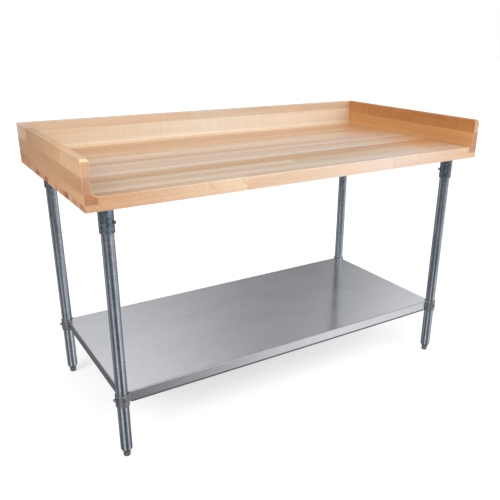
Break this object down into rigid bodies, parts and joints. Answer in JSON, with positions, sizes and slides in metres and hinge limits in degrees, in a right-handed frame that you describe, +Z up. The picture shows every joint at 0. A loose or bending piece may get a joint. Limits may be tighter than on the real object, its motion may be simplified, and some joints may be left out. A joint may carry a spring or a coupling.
{
  "type": "butcher block table",
  "caption": "Wooden butcher block work table with a coved riser round its rear and ends, round steel legs, a height-adjustable steel undershelf and screw-in levelling feet.",
  "frame": {"origin": "on the floor under the middle of the top, with the levelling feet screwed right in", "axes": "+X to the right along the length, +Y to the rear riser, +Z up"},
  "size_m": [1.524, 0.762, 0.9969],
  "materials": {
    "maple": "edge-glued hard maple with a penetrating oil finish, satin",
    "galvanised_steel": "galvanised, with a fine spangle",
    "shelf_steel": "satin sheet steel",
    "cast_collar": "as cast, tumbled",
    "zinc_plated_steel": "zinc plated",
    "foot_metal": "satin"
  },
  "bodies": {
    "table": {"stave_01": "maple", "stave_02": "maple", "stave_03": "maple", "stave_04": "maple", "stave_05": "maple", "stave_06": "maple", "stave_07": "maple", "stave_08": "maple", "stave_09": "maple", "stave_10": "maple", "stave_11": "maple", "stave_12": "maple", "stave_13": "maple", "stave_14": "maple", "stave_15": "maple", "stave_16": "maple", "stave_17": "maple", "stave_18": "maple", "stave_19": "maple", "stave_20": "maple", "rear_riser_base": "maple", "rear_riser_middle": "maple", "rear_riser_top": "maple", "left_riser_base": "maple", "left_riser_middle": "maple", "left_riser_top": "maple", "right_riser_base": "maple", "right_riser_middle": "maple", "right_riser_top": "maple", "front_left_leg": "galvanised_steel", "front_right_leg": "galvanised_steel", "rear_left_leg": "galvanised_steel", "rear_right_leg": "galvanised_steel", "front_left_leg_socket": "galvanised_steel", "front_right_leg_socket": "galvanised_steel", "rear_left_leg_socket": "galvanised_steel", "rear_right_leg_socket": "galvanised_steel", "socket_set_screws": "zinc_plated_steel", "left_cross_channel": "galvanised_steel", "right_cross_channel": "galvanised_steel", "top_wood_screws": "zinc_plated_steel", "front_left_foot_insert": "foot_metal", "front_right_foot_insert": "foot_metal", "rear_left_foot_insert": "foot_metal", "rear_right_foot_insert": "foot_metal"},
    "undershelf": {"undershelf_pan": "shelf_steel", "undershelf_hat_channel": "shelf_steel", "front_left_shelf_collar": "cast_collar", "front_right_shelf_collar": "cast_collar", "rear_left_shelf_collar": "cast_collar", "rear_right_shelf_collar": "cast_collar", "shelf_set_screws": "zinc_plated_steel"},
    "front_left_stud": {"front_left_foot_stud": "zinc_plated_steel"},
    "front_left_foot": {"front_left_foot": "foot_metal"},
    "front_right_stud": {"front_right_foot_stud": "zinc_plated_steel"},
    "front_right_foot": {"front_right_foot": "foot_metal"},
    "rear_left_stud": {"rear_left_foot_stud": "zinc_plated_steel"},
    "rear_left_foot": {"rear_left_foot": "foot_metal"},
    "rear_right_stud": {"rear_right_foot_stud": "zinc_plated_steel"},
    "rear_right_foot": {"rear_right_foot": "foot_metal"}
  },
  "joints": [
    {"name": "undershelf_height", "type": "slide", "parent": "table", "child": "undershelf", "axis": [0, 0, 1], "range_m": [-0.15, 0.5]},
    {"name": "front_left_foot_extension", "type": "slide", "parent": "table", "child": "front_left_stud", "axis": [0, 0, -1], "range_m": [0, 0.0254]},
    {"name": "front_left_foot_turn", "type": "hinge", "parent": "front_left_stud", "child": "front_left_foot", "pos_m": [-0.6858, -0.31115, 0.01], "axis": [0, 0, -1], "range_deg": [0, 5760]},
    {"name": "front_right_foot_extension", "type": "slide", "parent": "table", "child": "front_right_stud", "axis": [0, 0, -1], "range_m": [0, 0.0254]},
    {"name": "front_right_foot_turn", "type": "hinge", "parent": "front_right_stud", "child": "front_right_foot", "pos_m": [0.6858, -0.31115, 0.01], "axis": [0, 0, -1], "range_deg": [0, 5760]},
    {"name": "rear_left_foot_extension", "type": "slide", "parent": "table", "child": "rear_left_stud", "axis": [0, 0, -1], "range_m": [0, 0.0254]},
    {"name": "rear_left_foot_turn", "type": "hinge", "parent": "rear_left_stud", "child": "rear_left_foot", "pos_m": [-0.6858, 0.31115, 0.01], "axis": [0, 0, -1], "range_deg": [0, 5760]},
    {"name": "rear_right_foot_extension", "type": "slide", "parent": "table", "child": "rear_right_stud", "axis": [0, 0, -1], "range_m": [0, 0.0254]},
    {"name": "rear_right_foot_turn", "type": "hinge", "parent": "rear_right_stud", "child": "rear_right_foot", "pos_m": [0.6858, 0.31115, 0.01], "axis": [0, 0, -1], "range_deg": [0, 5760]}
  ],
  "couplings": [
    {"joint": "front_left_foot_turn", "follows": "front_left_foot_extension", "rad_per_m": 3957.8},
    {"joint": "front_right_foot_turn", "follows": "front_right_foot_extension", "rad_per_m": 3957.8},
    {"joint": "rear_left_foot_turn", "follows": "rear_left_foot_extension", "rad_per_m": 3957.8},
    {"joint": "rear_right_foot_turn", "follows": "rear_right_foot_extension", "rad_per_m": 3957.8}
  ]
}
